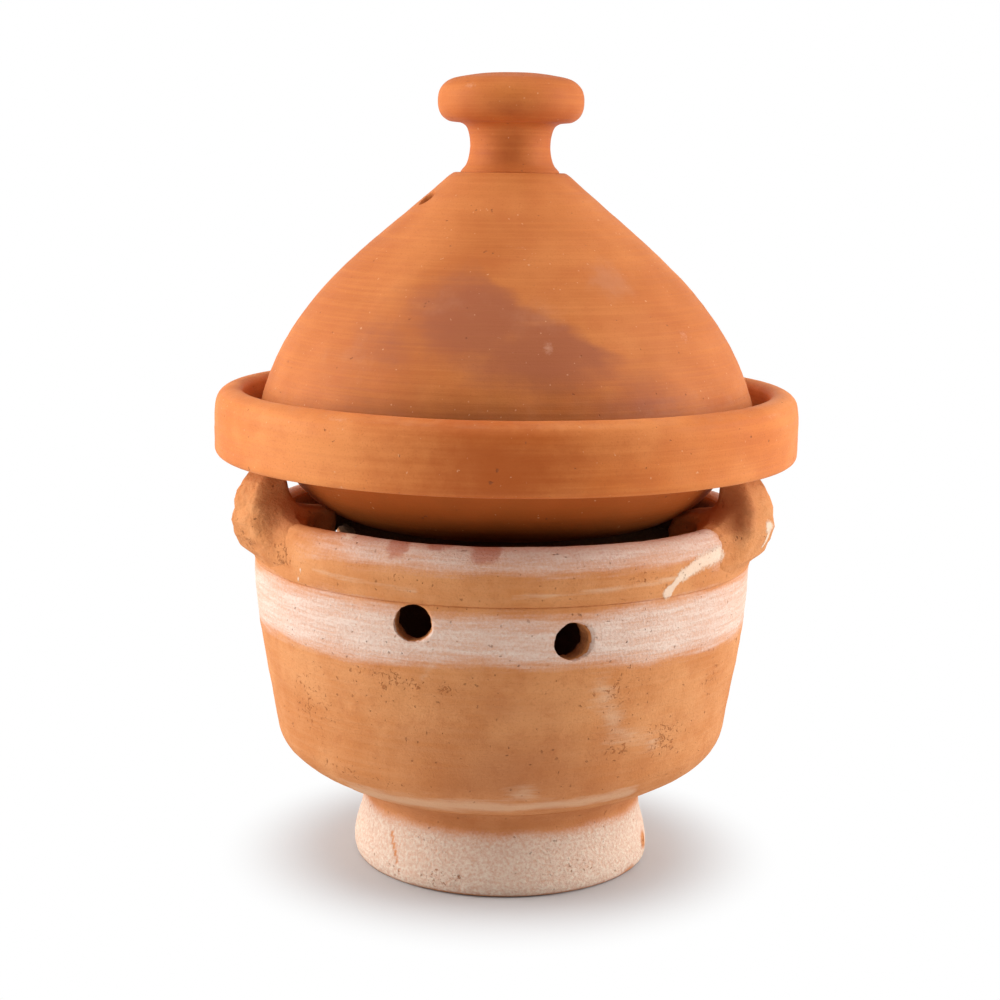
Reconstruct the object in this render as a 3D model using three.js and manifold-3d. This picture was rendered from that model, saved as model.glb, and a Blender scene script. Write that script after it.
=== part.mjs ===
// A terracotta tagine standing on its charcoal brazier: a conical lid with a knob, a shallow dish
// with an upright collar, and a fire bowl on a foot ring, with three clay rests around its mouth.
// Millimetres, +Z up. The origin is at the middle of the foot ring's bottom face.

import * as THREE from 'three';
import { mergeVertices } from 'three/addons/utils/BufferGeometryUtils.js';
import Module from 'manifold-3d';

// ---- Driving dimensions ----

const GAP = 0.3; // between pieces that touch
const SIDES = 40; // facets around a thrown piece

const FOOT_HEIGHT = 44.7;
const FOOT_BOTTOM_RADIUS = 78.3;
const FOOT_WAIST_RADIUS = 73.7;
const FOOT_TOP_RADIUS = 80;
const FOOT_BORE_RADIUS = 61;

const FIRE_BOWL_BOTTOM = FOOT_HEIGHT + GAP;
const FIRE_BOWL_CORNER_RADIUS = 116.8;
const FIRE_BOWL_CORNER_HEIGHT = 68;
const FIRE_BOWL_TOP = 161.5;
const FIRE_BOWL_TOP_RADIUS = 128.8;
const FIRE_BOWL_WALL = 12;

const ROLL_BOTTOM = FIRE_BOWL_TOP + GAP;
const ROLL_TOP = 188.5;
const ROLL_INNER_RADIUS = 113;
const ROLL_OUTER_RADIUS = 130.5;

const VENT_RADIUS = 8.5;
const VENT_PAIR_AZIMUTHS = [0, 110, 250]; // degrees from the front, between the rests
const VENTS = [
  { offset: -19, height: 151.2 },
  { offset: 15, height: 144 },
];

const REST_WIDTH = 25; // across the rim
const REST_AZIMUTHS = { left: -68, right: 68, back: 180 }; // degrees from the front

const DISH_RADIUS = 150;
const DISH_BAND_BOTTOM = 215;
const DISH_RIM_TOP = 249.5;
const DISH_COLLAR_INNER_RADIUS = 135;
const DISH_GUTTER_HEIGHT = 229.3;
const DISH_BOWL_RADIUS = 117.7; // where the bowl leaves the band's underside
const DISH_BOTTOM = 179;
const DISH_BOTTOM_RADIUS = 66;
const DISH_FLOOR = 190;

const LID_BOTTOM = DISH_GUTTER_HEIGHT + GAP;
const LID_RADIUS = 127.5;
const LID_WALL = 9;
const LID_TOP = 358.2;
const LID_TOP_RADIUS = 28.5;
const STEAM_HOLE_RADIUS = 4.5;
const STEAM_HOLE_AZIMUTH = -70; // degrees from the front

const KNOB_BOTTOM = LID_TOP + GAP;
const KNOB_TOP = 407.7;
const KNOB_RADIUS = 37.1;
const KNOB_NECK_RADIUS = 20.5;

const DEGREE = Math.PI / 180;

// ---- Clay ----

const clay = (color, roughness) => new THREE.MeshStandardMaterial({ color, roughness, metalness: 0 });
const smoothClay = clay(0xc8703c, 0.72);
const brazierClay = clay(0xc98a58, 0.85);
const limewash = clay(0xdcb89c, 0.9);

// ---- Solids ----

const wasm = await Module();
wasm.setup();

function toManifold(geometry) {
  const bare = geometry.clone();
  bare.deleteAttribute('normal');
  bare.deleteAttribute('uv');
  const merged = mergeVertices(bare, 1e-4);
  return new wasm.Manifold(new wasm.Mesh({
    numProp: 3,
    vertProperties: new Float32Array(merged.attributes.position.array),
    triVerts: new Uint32Array(merged.index.array),
  }));
}

function toGeometry(solid) {
  const { vertProperties, triVerts } = solid.getMesh();
  const geometry = new THREE.BufferGeometry();
  geometry.setAttribute('position', new THREE.BufferAttribute(vertProperties, 3));
  geometry.setIndex(new THREE.BufferAttribute(triVerts, 1));
  geometry.computeVertexNormals();
  return geometry;
}

// A [radius, height] outline turned about Z. It starts and ends on the axis, or closes on itself.
// A counter-clockwise outline, up its outer side and down its inner side, faces outwards.
function turn(outline, sides = SIDES) {
  const points = outline.map(([radius, height]) => new THREE.Vector2(radius, height));
  return new THREE.LatheGeometry(points, sides).rotateX(Math.PI / 2);
}

// A turned piece with a hole through its middle: its outline returns to its first point.
const turnRing = (outline, sides) => turn([...outline, outline[0]], sides);

// Points along a smooth curve through a few [radius, height] points.
function smooth(points, steps) {
  const curve = new THREE.SplineCurve(points.map(([radius, height]) => new THREE.Vector2(radius, height)));
  return curve.getPoints(steps).map((point) => [point.x, point.y]);
}

// Points along a quarter bend from one point to another, pulled towards a corner.
function bend(from, corner, to, steps) {
  const curve = new THREE.QuadraticBezierCurve(
    new THREE.Vector2(...from),
    new THREE.Vector2(...corner),
    new THREE.Vector2(...to),
  );
  return curve.getPoints(steps).map((point) => [point.x, point.y]);
}

// The direction at an azimuth, in degrees from the front (-Y) towards the right (+X).
const outward = (azimuth) => new THREE.Vector3(Math.sin(azimuth * DEGREE), -Math.cos(azimuth * DEGREE), 0);

function drill(radius, length, centre, direction) {
  const hole = new THREE.CylinderGeometry(radius, radius, length, 16);
  const aim = new THREE.Quaternion().setFromUnitVectors(new THREE.Vector3(0, 1, 0), direction);
  return toManifold(hole.applyQuaternion(aim).translate(centre.x, centre.y, centre.z));
}

// ---- Brazier ----

function footRing() {
  const outer = smooth([
    [FOOT_BOTTOM_RADIUS, 6],
    [FOOT_BOTTOM_RADIUS - 1.5, 17],
    [FOOT_WAIST_RADIUS, 29],
    [FOOT_TOP_RADIUS, FOOT_HEIGHT],
  ], 7);
  return turnRing([
    [FOOT_BORE_RADIUS + 3, 0],
    [FOOT_BOTTOM_RADIUS - 2.2, 0],
    [FOOT_BOTTOM_RADIUS - 0.6, 1.6],
    ...outer,
    [FOOT_BORE_RADIUS, FOOT_HEIGHT],
    [FOOT_BORE_RADIUS, 3],
  ]);
}

const fireBowlOuter = [
  ...bend(
    [FOOT_TOP_RADIUS, FIRE_BOWL_BOTTOM],
    [99, 50],
    [FIRE_BOWL_CORNER_RADIUS, FIRE_BOWL_CORNER_HEIGHT],
    6,
  ),
  [121.7, 97],
  [126, 123],
  [FIRE_BOWL_TOP_RADIUS, 150],
  [FIRE_BOWL_TOP_RADIUS, FIRE_BOWL_TOP],
];

function fireBowl() {
  const innerTop = FIRE_BOWL_TOP_RADIUS - FIRE_BOWL_WALL;
  const innerCorner = FIRE_BOWL_CORNER_RADIUS - FIRE_BOWL_WALL;
  const floor = FIRE_BOWL_BOTTOM + FIRE_BOWL_WALL;
  let bowl = toManifold(turn([
    [0, FIRE_BOWL_BOTTOM],
    ...fireBowlOuter,
    [innerTop, FIRE_BOWL_TOP],
    [innerTop, 150],
    ...bend([innerCorner, FIRE_BOWL_CORNER_HEIGHT + 6], [94, floor + 3], [70, floor], 4),
    [0, floor],
  ]));
  for (const pair of VENT_PAIR_AZIMUTHS) {
    for (const { offset, height } of VENTS) {
      const direction = outward(pair + offset);
      const centre = direction.clone().multiplyScalar(FIRE_BOWL_TOP_RADIUS).setZ(height);
      bowl = bowl.subtract(drill(VENT_RADIUS, 4 * FIRE_BOWL_WALL, centre, direction));
    }
  }
  return toGeometry(bowl);
}

// The roll's section, grown outwards by a margin.
function rollOutline(margin) {
  const middle = 122;
  return [
    [ROLL_INNER_RADIUS - margin, ROLL_BOTTOM - margin],
    [ROLL_OUTER_RADIUS - 2 + margin, ROLL_BOTTOM - margin],
    ...bend(
      [ROLL_OUTER_RADIUS + margin, ROLL_BOTTOM + 8],
      [ROLL_OUTER_RADIUS + margin, ROLL_TOP + margin],
      [middle, ROLL_TOP + margin],
      4,
    ),
    ...bend(
      [middle - 2, ROLL_TOP + margin],
      [ROLL_INNER_RADIUS - margin, ROLL_TOP - 1 + margin],
      [ROLL_INNER_RADIUS - margin, ROLL_TOP - 11],
      2,
    ),
  ];
}

// A rest seen from its side: a horn outside and above the roll, a tongue reaching over the fire.
function restOutline() {
  const hornTop = DISH_BAND_BOTTOM - GAP;
  return [
    [129, 163],
    ...smooth([[132.5, 166.5], [138, 174], [140.3, 183], [140.2, 191], [138.3, 199], [134, 207], [127.5, hornTop]], 9),
    [121.5, hornTop],
    [120, 209],
    ...bend([119.8, 202], [120, 192], [110, 190.8], 3),
    [103, 189],
    [96.5, 185],
    [94, 180],
    [95.5, 172],
    [105, 166],
    [112, 158],
  ];
}

function potRest(azimuth) {
  const shape = new THREE.Shape(restOutline().map(([radius, height]) => new THREE.Vector2(radius, height)));
  const round = 5;
  const block = new THREE.ExtrudeGeometry(shape, {
    depth: REST_WIDTH - 2 * round,
    bevelThickness: round,
    bevelSize: 3,
    bevelOffset: -3,
    bevelSegments: 2,
    steps: 1,
  });
  block.translate(0, 0, round - REST_WIDTH / 2);
  block.rotateX(Math.PI / 2);
  block.rotateZ((azimuth - 90) * DEGREE);
  const bowlSkin = turn([
    [0, FIRE_BOWL_BOTTOM],
    ...fireBowlOuter.map(([radius, height]) => [radius + GAP, height]),
    [FIRE_BOWL_TOP_RADIUS + GAP, ROLL_BOTTOM],
    [0, ROLL_BOTTOM],
  ]);
  return toGeometry(
    toManifold(block)
      .subtract(toManifold(bowlSkin))
      .subtract(toManifold(turnRing(rollOutline(GAP)))),
  );
}

// ---- Dish ----

function dish() {
  const bandEdge = 1.8;
  const lip = 9;
  return turn([
    [0, DISH_BOTTOM],
    [DISH_BOTTOM_RADIUS, DISH_BOTTOM],
    ...bend([78, 181.3], [98, 185.5], [DISH_BOWL_RADIUS, DISH_BAND_BOTTOM], 6),
    [DISH_RADIUS - bandEdge, DISH_BAND_BOTTOM],
    [DISH_RADIUS, DISH_BAND_BOTTOM + bandEdge],
    ...bend([DISH_RADIUS, DISH_RIM_TOP - lip], [DISH_RADIUS, DISH_RIM_TOP], [DISH_RADIUS - lip, DISH_RIM_TOP], 3),
    [DISH_COLLAR_INNER_RADIUS + 2.5, DISH_RIM_TOP],
    [DISH_COLLAR_INNER_RADIUS, DISH_RIM_TOP - 3],
    [DISH_COLLAR_INNER_RADIUS, DISH_GUTTER_HEIGHT + 3],
    [DISH_COLLAR_INNER_RADIUS - 3, DISH_GUTTER_HEIGHT],
    [DISH_BOWL_RADIUS - 3, DISH_GUTTER_HEIGHT],
    ...bend([DISH_BOWL_RADIUS - 8, DISH_GUTTER_HEIGHT - 4], [94, DISH_FLOOR + 3], [60, DISH_FLOOR], 5),
    [0, DISH_FLOOR],
  ]);
}

// ---- Lid ----

const lidOuter = [
  [LID_RADIUS - 0.5, LID_BOTTOM],
  [LID_RADIUS, LID_BOTTOM + 3],
  ...smooth([[126.3, 243], [117.5, 266.6], [106.2, 285], [91.5, 303], [72.2, 321], [50.9, 339], [36, 351]], 11),
  [LID_TOP_RADIUS, LID_TOP],
];

function lidCone() {
  const inner = smooth([
    [LID_RADIUS - LID_WALL - 0.7, 243],
    [108, 265],
    [84, 296],
    [46, 331],
    [20, 344.5],
  ], 8);
  const cone = toManifold(turn([
    [0, inner.at(-1)[1] + 2],
    ...inner.toReversed(),
    [LID_RADIUS - LID_WALL, LID_BOTTOM + 3],
    [LID_RADIUS - LID_WALL + 0.5, LID_BOTTOM],
    ...lidOuter,
    [0, LID_TOP],
  ]));
  const slope = Math.atan2(11, 13);
  const direction = outward(STEAM_HOLE_AZIMUTH).multiplyScalar(Math.sin(slope)).setZ(Math.cos(slope));
  const centre = outward(STEAM_HOLE_AZIMUTH).multiplyScalar(44).setZ(345);
  return toGeometry(cone.subtract(drill(STEAM_HOLE_RADIUS, 4 * LID_WALL, centre, direction)));
}

function lidKnob() {
  return turn([
    [0, KNOB_BOTTOM],
    [26.5, KNOB_BOTTOM],
    ...smooth([[25, 360.4], [21.6, 364], [KNOB_NECK_RADIUS, 369.5], [21.3, 375], [24.5, 381]], 6),
    ...smooth([[32.5, 383], [36.3, 387.5], [KNOB_RADIUS, 394.5], [34, 401.8], [27.5, 405.6]], 7),
    [14, KNOB_TOP],
    [0, KNOB_TOP],
  ], 32);
}

// ---- Assembly ----

function piece(name, geometry, material) {
  const mesh = new THREE.Mesh(geometry, material);
  mesh.name = name;
  return mesh;
}

const brazier = new THREE.Group();
brazier.add(
  piece('brazier_foot_ring', footRing(), limewash),
  piece('brazier_bowl', fireBowl(), brazierClay),
  piece('brazier_rim_roll', turnRing(rollOutline(0)), brazierClay),
);
for (const [side, azimuth] of Object.entries(REST_AZIMUTHS)) {
  brazier.add(piece(`pot_rest_${side}`, potRest(azimuth), brazierClay));
}

const lid = new THREE.Group();
lid.add(
  piece('lid_cone', lidCone(), smoothClay),
  piece('lid_knob', lidKnob(), smoothClay),
);

const tagine = new THREE.Group();
tagine.add(brazier, piece('tagine_dish', dish(), smoothClay), lid);

export default tagine;
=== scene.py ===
"""A terracotta tagine on its charcoal brazier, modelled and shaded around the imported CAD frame.

Shapes are worked out in millimetres in the CAD frame and turned into metres when a mesh is made.
Azimuths are in degrees from the front (-Y) towards the right (+X).
"""

import math
from itertools import product

import bpy
import numpy as np
from mathutils import Euler, Matrix, Vector


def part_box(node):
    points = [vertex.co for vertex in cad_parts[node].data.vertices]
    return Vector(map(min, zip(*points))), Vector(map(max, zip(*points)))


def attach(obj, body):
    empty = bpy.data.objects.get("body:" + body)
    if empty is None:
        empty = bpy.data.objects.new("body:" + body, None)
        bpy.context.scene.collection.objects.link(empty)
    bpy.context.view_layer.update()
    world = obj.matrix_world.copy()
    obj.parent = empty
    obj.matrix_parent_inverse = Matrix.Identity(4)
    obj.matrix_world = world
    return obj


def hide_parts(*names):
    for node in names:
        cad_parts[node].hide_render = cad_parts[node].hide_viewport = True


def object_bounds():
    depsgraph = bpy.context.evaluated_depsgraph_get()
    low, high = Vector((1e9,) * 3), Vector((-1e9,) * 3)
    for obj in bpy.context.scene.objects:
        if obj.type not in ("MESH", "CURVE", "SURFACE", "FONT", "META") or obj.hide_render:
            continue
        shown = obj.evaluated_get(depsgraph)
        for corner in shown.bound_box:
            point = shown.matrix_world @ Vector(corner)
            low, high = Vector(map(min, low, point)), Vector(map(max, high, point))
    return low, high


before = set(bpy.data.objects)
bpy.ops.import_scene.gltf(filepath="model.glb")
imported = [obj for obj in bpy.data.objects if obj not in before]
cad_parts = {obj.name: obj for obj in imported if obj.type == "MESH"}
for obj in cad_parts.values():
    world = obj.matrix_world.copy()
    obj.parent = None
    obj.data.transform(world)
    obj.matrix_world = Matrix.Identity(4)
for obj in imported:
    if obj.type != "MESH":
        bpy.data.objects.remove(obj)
cad_low, cad_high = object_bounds()

MM = 0.001

# ---- Places taken from the frame ----


def reach(node):
    """A node's outer radius or width, bottom and top, in mm."""
    low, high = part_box(node)
    return high.x / MM, low.z / MM, high.z / MM


FOOT_RADIUS, FOOT_BOTTOM, FOOT_TOP = reach("brazier_foot_ring")
BOWL_RADIUS, BOWL_BOTTOM, BOWL_TOP = reach("brazier_bowl")
ROLL_RADIUS, ROLL_BOTTOM, ROLL_TOP = reach("brazier_rim_roll")
DISH_RADIUS, DISH_BOTTOM, DISH_TOP = reach("tagine_dish")
LID_RADIUS, LID_BOTTOM, LID_TOP = reach("lid_cone")
_, KNOB_BOTTOM, KNOB_TOP = reach("lid_knob")
REST_TOP = reach("pot_rest_back")[2]

VENT_PAIRS = (0, 110, 250)  # azimuth of each pair's middle
HIGH_VENT = (-19, 151.2)  # degrees from the pair's middle, height
LOW_VENT = (15, 144)
VENTS = [(base + step, height) for base in VENT_PAIRS for step, height in (HIGH_VENT, LOW_VENT)]
VENT_RADIUS = 8.5
VENT_LEAN = 9  # degrees that the punch was held off the radius
RESTS = {"pot_rest_left": -68, "pot_rest_right": 68, "pot_rest_back": 180}
STEAM_HOLE = (-70, 345)  # azimuth, height
BAND_BOTTOM = 215  # height of the underside of the dish's band, which the rests carry
POT_NUDGE = 1.2  # mm the dish and lid stand to the right
FOOT_NUDGE = 1.4  # mm the foot ring sits to the right

# ---- Noise ----


class Noise:
    """Smooth gradient noise in space, about -1 to 1, the same in each run."""

    def __init__(self, seed):
        rng = np.random.default_rng(seed)
        self.order = rng.permutation(256)
        slopes = rng.normal(size=(256, 3))
        self.slopes = slopes / np.linalg.norm(slopes, axis=1)[:, None]

    def __call__(self, points, size):
        """Noise at the points with features about size mm across. Size may be given for each axis."""
        scaled = points / np.asarray(size, float)
        base = np.floor(scaled).astype(int)
        part = scaled - base
        ease = part**3 * (part * (part * 6 - 15) + 10)
        total = np.zeros(len(points))
        for corner in product((0, 1), repeat=3):
            cell = (base + corner) & 255
            pick = self.order[cell[:, 0]] + cell[:, 1]
            pick = self.order[pick & 255] + cell[:, 2]
            pick = self.order[pick & 255]
            slope = ((part - corner) * self.slopes[pick]).sum(1)
            total += slope * np.prod(np.where(corner, ease, 1 - ease), axis=1)
        return total * 1.5


dents = Noise(11)
rings = Noise(23)
grit = Noise(37)


def azimuth_of(points):
    return np.degrees(np.arctan2(points[:, 0], -points[:, 1]))


def radius_of(points):
    return np.hypot(points[:, 0], points[:, 1])


def away(azimuth, centre):
    """Degrees from a centre azimuth, -180 to 180."""
    return (azimuth - centre + 180) % 360 - 180


def outward(azimuth):
    turn = math.radians(azimuth)
    return np.array([math.sin(turn), -math.cos(turn), 0.0])


def smoothstep(value, low, high):
    share = np.clip((value - low) / (high - low), 0, 1)
    return share * share * (3 - 2 * share)


# ---- Meshes ----

AROUND = 320  # points round a thrown piece
SPACING = 1.7  # mm along its section
CRISP = 0.55  # mm along its section at its sharpest corners
FINE = 0.3  # mm along a section while its corners are rounded
SHARP_CUT = 48  # degrees between faces from which an edge left by a cut stays sharp


def soften(corners, closed):
    """A fine [radius, height] line through the corners, each rounded by its own softness in mm."""
    corners = np.array(corners, float)
    if closed:
        corners = np.vstack([corners, corners[:1]])
    lengths = np.hypot(*np.diff(corners[:, :2], axis=0).T)
    marks = np.concatenate([[0], np.cumsum(lengths)])
    places = np.linspace(0, marks[-1], int(marks[-1] / FINE) + 1)
    line = np.stack([np.interp(places, marks, corners[:, axis]) for axis in (0, 1)], 1)
    softness = np.maximum(np.interp(places, marks, corners[:, 2]), 0.2)
    total = marks[-1]
    if closed:
        copies = [(line, places - total), (line[1:], places[1:]), (line[1:], places[1:] + total)]
    else:
        mirror = line * (-1, 1)
        copies = [(mirror[1:], -places[1:]), (line, places), (mirror[:-1], 2 * total - places[:-1])]
    spread_line = np.concatenate([copy[0] for copy in copies])
    spread_places = np.concatenate([copy[1] for copy in copies])
    weights = np.exp(-0.5 * ((places[:, None] - spread_places[None, :]) / softness[:, None]) ** 2)
    smooth = weights @ spread_line / weights.sum(1)[:, None]
    steps = np.hypot(*np.diff(smooth, axis=0).T) / np.clip(softness[1:], CRISP, SPACING)
    marks = np.concatenate([[0], np.cumsum(steps)])
    places = np.linspace(0, marks[-1], int(marks[-1]) + 1)
    smooth = np.stack([np.interp(places, marks, smooth[:, axis]) for axis in (0, 1)], 1)
    if closed:
        return smooth[:-1]
    smooth[[0, -1], 0] = 0
    return smooth


def nudge(piece, x):
    """Moves a piece x mm to the right, because the pieces stand a little out of line."""
    piece.data.transform(Matrix.Translation((x * MM, 0, 0)))


def make_mesh(name, points, faces):
    mesh = bpy.data.meshes.new(name)
    mesh.from_pydata((points * MM).tolist(), [], faces)
    mesh.validate()
    mesh.shade_smooth()
    piece = bpy.data.objects.new(name, mesh)
    bpy.context.scene.collection.objects.link(piece)
    return piece


def carried_round(outwards, upwards, ray):
    """Pairs of an outward and an upward part, carried round the axis along each ray."""
    level = outwards[:, None, None] * ray[None]
    up = np.broadcast_to(upwards[:, None, None], (len(upwards), len(ray), 1))
    return np.concatenate([level, up], 2).reshape(-1, 3)


def thrown(name, corners, relief, closed=False, around=AROUND):
    """A piece turned on the wheel: its section, carried round the axis and then moved by its relief."""
    line = soften(corners, closed)
    along = np.roll(line, -1, 0) - np.roll(line, 1, 0) if closed else np.gradient(line, axis=0)
    along /= np.linalg.norm(along, axis=1)[:, None]
    turns = np.arange(around) * 2 * math.pi / around
    ray = np.stack([np.cos(turns), np.sin(turns)], 1)
    body = slice(None) if closed else slice(1, -1)
    points = carried_round(line[body, 0], line[body, 1], ray)
    facing = carried_round(along[body, 1], -along[body, 0], ray)
    points = points + facing * relief(points)[:, None]
    rows = len(line[body])
    row, column = np.meshgrid(np.arange(rows if closed else rows - 1), np.arange(around), indexing="ij")
    here = row * around
    after = (row + 1) % rows * around
    beside = (column + 1) % around
    faces = np.stack([here + column, here + beside, after + beside, after + column], -1)
    faces = faces.reshape(-1, 4).tolist()
    if not closed:
        first, last = len(points), len(points) + 1
        ends = np.array([[0, 0, line[0, 1]], [0, 0, line[-1, 1]]])
        top = (rows - 1) * around
        faces += [[first, (i + 1) % around, i] for i in range(around)]
        faces += [[last, top + i, top + (i + 1) % around] for i in range(around)]
        points = np.concatenate([points, ends])
    return make_mesh(name, points, faces)


def cut(piece, cutters):
    """Takes the cutters out of a piece, and removes them."""
    for cutter in cutters:
        hole = piece.modifiers.new("hole", "BOOLEAN")
        hole.operation = "DIFFERENCE"
        hole.solver = "EXACT"
        hole.object = cutter
    bpy.context.view_layer.update()
    done = bpy.data.meshes.new_from_object(piece.evaluated_get(bpy.context.evaluated_depsgraph_get()))
    piece.modifiers.clear()
    piece.data = done
    done.name = piece.name
    done.shade_smooth()
    done.set_sharp_from_angle(angle=math.radians(SHARP_CUT))
    for cutter in cutters:
        bpy.data.objects.remove(cutter)


def points_of(piece):
    points = np.zeros(len(piece.data.vertices) * 3)
    piece.data.vertices.foreach_get("co", points)
    return points.reshape(-1, 3) / MM


def paint(piece, **fields):
    """Stores fields of one value for each point, which the clay's shader reads by name."""
    for name, values in fields.items():
        layer = piece.data.attributes.new(name, "FLOAT", "POINT")
        layer.data.foreach_set("value", np.asarray(values, np.float32))


# ---- Clay modelled by hand: a field that is negative inside, and the surface where it is zero ----


def smooth_min(first, second, blend):
    mix = np.clip(0.5 + 0.5 * (second - first) / blend, 0, 1)
    return second * (1 - mix) + first * mix - blend * mix * (1 - mix)


def outline_distance(across, height, corners):
    """Signed distance to a closed outline of [radius, height] corners."""
    corners = np.array(corners, float)
    nearest = np.full(across.shape, 1e9)
    inside = np.zeros(across.shape, bool)
    for start, end in zip(corners, np.roll(corners, -1, 0)):
        edge = end - start
        to_x = across - start[0]
        to_y = height - start[1]
        share = np.clip((to_x * edge[0] + to_y * edge[1]) / (edge @ edge), 0, 1)
        nearest = np.minimum(nearest, np.hypot(to_x - edge[0] * share, to_y - edge[1] * share))
        crosses = (start[1] > height) != (end[1] > height)
        rise = edge[1] if edge[1] else 1e-9
        inside ^= crosses & (to_x < edge[0] * to_y / rise)
    return np.where(inside, -nearest, nearest)


def slab(across, aside, height, corners, half_width, rounding):
    """An outline given a width, its edges rounded."""
    flat = outline_distance(across, height, corners) + rounding
    side = np.abs(aside) - half_width + rounding
    outer = np.hypot(np.maximum(flat, 0), np.maximum(side, 0))
    return outer + np.minimum(np.maximum(flat, side), 0) - rounding


PROBE = 0.2  # mm either way over which a field's slope is measured
EDGES = [
    (a, b)
    for a in product((0, 1), repeat=3)
    for b in product((0, 1), repeat=3)
    if a < b and sum(abs(i - j) for i, j in zip(a, b)) == 1
]


def surface(field, low, high, step):
    """The zero surface of a field over a box, as points and quads."""
    axes = [np.arange(start, stop + step, step) for start, stop in zip(low, high)]
    grid = np.stack(np.meshgrid(*axes, indexing="ij"), -1)
    values = field(grid.reshape(-1, 3)).reshape(grid.shape[:3])
    inside = values < 0
    cells = tuple(size - 1 for size in values.shape)

    def corner_of(array, corner):
        return array[tuple(slice(shift, shift + size) for shift, size in zip(corner, cells))]

    filled = sum(corner_of(inside, corner).astype(int) for corner in product((0, 1), repeat=3))
    crossed = (filled > 0) & (filled < 8)
    index = np.full(cells, -1)
    index[crossed] = np.arange(crossed.sum())
    base = np.argwhere(crossed)
    total = np.zeros((len(base), 3))
    hits = np.zeros(len(base))
    for a, b in EDGES:
        first = corner_of(values, a)[crossed]
        second = corner_of(values, b)[crossed]
        swaps = (first < 0) != (second < 0)
        share = np.where(swaps, first / np.where(swaps, first - second, 1), 0)
        place = np.array(a) + share[:, None] * (np.array(b) - np.array(a))
        total += np.where(swaps[:, None], place, 0)
        hits += swaps
    points = np.array(low) + (base + total / hits[:, None]) * step
    faces = []
    for axis in range(3):
        u, v = (axis + 1) % 3, (axis + 2) % 3
        before = np.moveaxis(inside, (axis, u, v), (0, 1, 2))
        cell = np.moveaxis(index, (axis, u, v), (0, 1, 2))
        for sign in (True, False):
            spots = np.argwhere((before[:-1, 1:-1, 1:-1] == sign) & (before[1:, 1:-1, 1:-1] != sign))
            i, j, k = spots[:, 0], spots[:, 1], spots[:, 2]
            around = ((j, k), (j + 1, k), (j + 1, k + 1), (j, k + 1))
            quad = np.stack([cell[i, u_at, v_at] for u_at, v_at in around], 1)
            faces.append(quad if sign else quad[:, ::-1])
    # Two steps down the field's slope bring the points on to its surface.
    for _ in range(2):
        shifts = np.eye(3) * PROBE
        slope = np.stack([field(points + shift) - field(points - shift) for shift in shifts], 1)
        slope = slope / (2 * PROBE)
        length = np.maximum((slope**2).sum(1), 0.2)
        move = field(points)[:, None] * slope / length[:, None]
        points = points - np.clip(move, -0.4 * step, 0.4 * step)
    return points, np.concatenate(faces).tolist()


# ---- Thrown pieces ----


def throwing_rings(points, tall):
    """Faint level rings left by the fingers and the rib."""
    return rings(points, (140, 140, tall))


def smooth_relief(points):
    return (
        0.14 * throwing_rings(points, 5.5)
        + 0.06 * throwing_rings(points, 2.6)
        + 0.28 * dents(points, 70)
        + 0.05 * grit(points, 7)
    )


def rough_relief(points):
    pits = smoothstep(grit(points + 90, 6), 0.45, 0.8)
    return (
        0.22 * throwing_rings(points, 8)
        + 0.55 * dents(points, 55)
        + 0.2 * dents(points, 17)
        + 0.13 * grit(points, 4.5)
        - 0.45 * pits
    )


def make_dish():
    inner = DISH_RADIUS - 15
    gutter = LID_BOTTOM - 0.5
    corners = [
        (0, DISH_BOTTOM, 3),
        (62, DISH_BOTTOM, 4),
        (78, DISH_BOTTOM + 2.3, 6),
        (92, DISH_BOTTOM + 6.8, 7),
        (104.5, DISH_BOTTOM + 16, 7),
        (113.5, DISH_BOTTOM + 28, 5),
        (117.6, 214.2, 1.2),
        (119, 215.2, 0.9),
        (DISH_RADIUS - 1.6, 215.1, 1.1),
        (DISH_RADIUS, 217.4, 1.1),
        (DISH_RADIUS, DISH_TOP - 10, 3),
        (DISH_RADIUS - 1.4, DISH_TOP - 3.2, 3),
        (DISH_RADIUS - 6.5, DISH_TOP - 0.4, 2.6),
        (DISH_RADIUS - 12, DISH_TOP + 0.3, 2.2),
        (inner + 0.4, DISH_TOP - 1.8, 1.6),
        (inner, DISH_TOP - 6, 2),
        (inner, gutter + 3, 1.6),
        (inner - 3, gutter, 1.6),
        (116, gutter, 1.4),
        (109.5, gutter - 4, 4),
        (98, 204, 9),
        (84, 193.5, 9),
        (64, 190, 6),
        (0, 190, 3),
    ]

    def relief(points):
        # The seat under the band and the gutter's floor stay true, because something rests on each.
        under_band = smoothstep(-np.abs(points[:, 2] - BAND_BOTTOM), -4, -1.5)
        in_gutter = smoothstep(-np.abs(points[:, 2] - gutter), -4, -1.5)
        in_gutter = in_gutter * (radius_of(points) < inner + 2)
        return smooth_relief(points) * (1 - np.maximum(under_band, in_gutter))

    dish = thrown("dish", corners, relief)
    nudge(dish, POT_NUDGE)
    return dish


LID_INNER = [
    (0, 346, 3),
    (16, 345, 4),
    (40, 335.5, 8),
    (84, 296, 14),
    (108, 265, 12),
    (117.3, 244, 8),
    (118.5, 233, 2),
    (119.5, LID_BOTTOM, 1.2),
]
LID_OUTER = [
    (LID_RADIUS - 1, LID_BOTTOM, 1.2),
    (LID_RADIUS, 232.5, 2),
    (126.6, 243, 5),
    (117.8, 266.6, 9),
    (106.4, 285, 9),
    (91.7, 303, 9),
    (72.3, 321, 9),
    (51.3, 338.6, 7),
    (37.2, 350.6, 3),
    (31.4, 355.9, 1),
    (28.4, LID_TOP - 0.2, 0.7),
    (24, LID_TOP - 0.2, 0.7),
    (0, LID_TOP, 1),
]


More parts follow.
